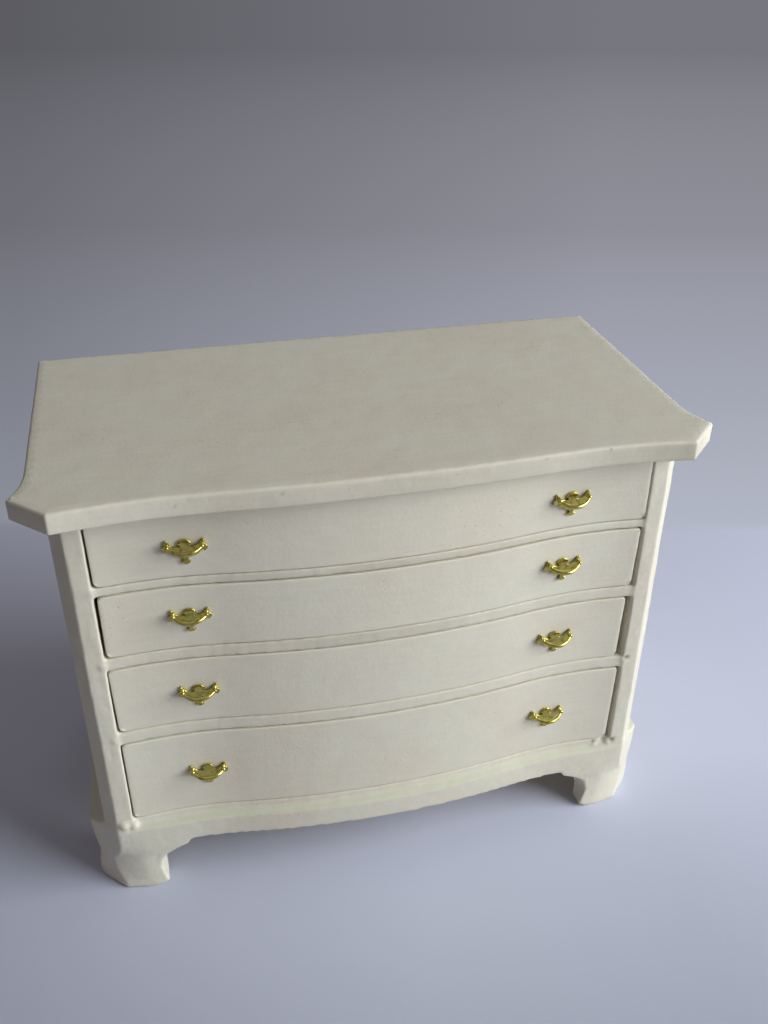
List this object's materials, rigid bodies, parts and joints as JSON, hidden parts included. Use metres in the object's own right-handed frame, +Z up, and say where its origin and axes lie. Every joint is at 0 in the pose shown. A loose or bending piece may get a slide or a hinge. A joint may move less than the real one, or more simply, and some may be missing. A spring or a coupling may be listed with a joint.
{
  "type": "miniature chest of drawers",
  "caption": "Dolls' house chest of drawers with a serpentine front, canted corners, bracket feet, sliding drawers and brass bail pulls.",
  "frame": {"origin": "middle of the chest's outline on the surface that the feet stand on", "axes": "+Z up, -Y out of the drawer fronts, +X to the right of someone who faces the front"},
  "size_m": [0.108, 0.0554, 0.0834],
  "materials": {
    "cream_paint": "satin paint over wood",
    "bare_wood": "bare, sanded",
    "brass": "polished"
  },
  "bodies": {
    "case": {"back_panel": "bare_wood", "bottom_board": "cream_paint", "front_apron": "cream_paint", "left_drawer_guides": "bare_wood", "left_front_foot": "cream_paint", "left_front_stile": "cream_paint", "left_rear_foot": "cream_paint", "left_side": "cream_paint", "left_side_apron": "cream_paint", "lower_drawer_divider": "cream_paint", "middle_drawer_divider": "cream_paint", "right_drawer_guides": "bare_wood", "right_front_foot": "cream_paint", "right_front_stile": "cream_paint", "right_rear_foot": "cream_paint", "right_side": "cream_paint", "right_side_apron": "cream_paint", "top_board": "cream_paint", "top_rail": "cream_paint", "upper_drawer_divider": "cream_paint"},
    "drawer_1": {"drawer_1_back": "bare_wood", "drawer_1_bottom": "bare_wood", "drawer_1_front": "cream_paint", "drawer_1_left_pull_plate": "brass", "drawer_1_left_side": "bare_wood", "drawer_1_right_pull_plate": "brass", "drawer_1_right_side": "bare_wood"},
    "drawer_1_left_bail": {"drawer_1_left_bail": "brass"},
    "drawer_1_right_bail": {"drawer_1_right_bail": "brass"},
    "drawer_2": {"drawer_2_back": "bare_wood", "drawer_2_bottom": "bare_wood", "drawer_2_front": "cream_paint", "drawer_2_left_pull_plate": "brass", "drawer_2_left_side": "bare_wood", "drawer_2_right_pull_plate": "brass", "drawer_2_right_side": "bare_wood"},
    "drawer_2_left_bail": {"drawer_2_left_bail": "brass"},
    "drawer_2_right_bail": {"drawer_2_right_bail": "brass"},
    "drawer_3": {"drawer_3_back": "bare_wood", "drawer_3_bottom": "bare_wood", "drawer_3_front": "cream_paint", "drawer_3_left_pull_plate": "brass", "drawer_3_left_side": "bare_wood", "drawer_3_right_pull_plate": "brass", "drawer_3_right_side": "bare_wood"},
    "drawer_3_left_bail": {"drawer_3_left_bail": "brass"},
    "drawer_3_right_bail": {"drawer_3_right_bail": "brass"},
    "drawer_4": {"drawer_4_back": "bare_wood", "drawer_4_bottom": "bare_wood", "drawer_4_front": "cream_paint", "drawer_4_left_pull_plate": "brass", "drawer_4_left_side": "bare_wood", "drawer_4_right_pull_plate": "brass", "drawer_4_right_side": "bare_wood"},
    "drawer_4_left_bail": {"drawer_4_left_bail": "brass"},
    "drawer_4_right_bail": {"drawer_4_right_bail": "brass"}
  },
  "joints": [
    {"name": "drawer_1_slide", "type": "slide", "parent": "case", "child": "drawer_1", "axis": [0, -1, 0], "range_m": [0, 0.036]},
    {"name": "drawer_2_slide", "type": "slide", "parent": "case", "child": "drawer_2", "axis": [0, -1, 0], "range_m": [0, 0.036]},
    {"name": "drawer_3_slide", "type": "slide", "parent": "case", "child": "drawer_3", "axis": [0, -1, 0], "range_m": [0, 0.036]},
    {"name": "drawer_4_slide", "type": "slide", "parent": "case", "child": "drawer_4", "axis": [0, -1, 0], "range_m": [0, 0.036]},
    {"name": "drawer_1_left_bail_hinge", "type": "hinge", "parent": "drawer_1", "child": "drawer_1_left_bail", "pos_m": [-0.03044, -0.02314, 0.0727], "axis": [-0.9972, 0.0754, 0], "range_deg": [0, 80]},
    {"name": "drawer_1_right_bail_hinge", "type": "hinge", "parent": "drawer_1", "child": "drawer_1_right_bail", "pos_m": [0.03123, -0.02308, 0.0727], "axis": [-0.9979, -0.0643, 0], "range_deg": [0, 80]},
    {"name": "drawer_2_left_bail_hinge", "type": "hinge", "parent": "drawer_2", "child": "drawer_2_left_bail", "pos_m": [-0.03084, -0.02311, 0.06003], "axis": [-0.9976, 0.0698, 0], "range_deg": [0, 80]},
    {"name": "drawer_2_right_bail_hinge", "type": "hinge", "parent": "drawer_2", "child": "drawer_2_right_bail", "pos_m": [0.03084, -0.02311, 0.06003], "axis": [-0.9976, -0.0698, 0], "range_deg": [0, 80]},
    {"name": "drawer_3_left_bail_hinge", "type": "hinge", "parent": "drawer_3", "child": "drawer_3_left_bail", "pos_m": [-0.03084, -0.02311, 0.04465], "axis": [-0.9976, 0.0698, 0], "range_deg": [0, 80]},
    {"name": "drawer_3_right_bail_hinge", "type": "hinge", "parent": "drawer_3", "child": "drawer_3_right_bail", "pos_m": [0.03084, -0.02311, 0.04465], "axis": [-0.9976, -0.0698, 0], "range_deg": [0, 80]},
    {"name": "drawer_4_left_bail_hinge", "type": "hinge", "parent": "drawer_4", "child": "drawer_4_left_bail", "pos_m": [-0.03084, -0.02311, 0.02695], "axis": [-0.9976, 0.0698, 0], "range_deg": [0, 80]},
    {"name": "drawer_4_right_bail_hinge", "type": "hinge", "parent": "drawer_4", "child": "drawer_4_right_bail", "pos_m": [0.03084, -0.02311, 0.02695], "axis": [-0.9976, -0.0698, 0], "range_deg": [0, 80]}
  ]
}
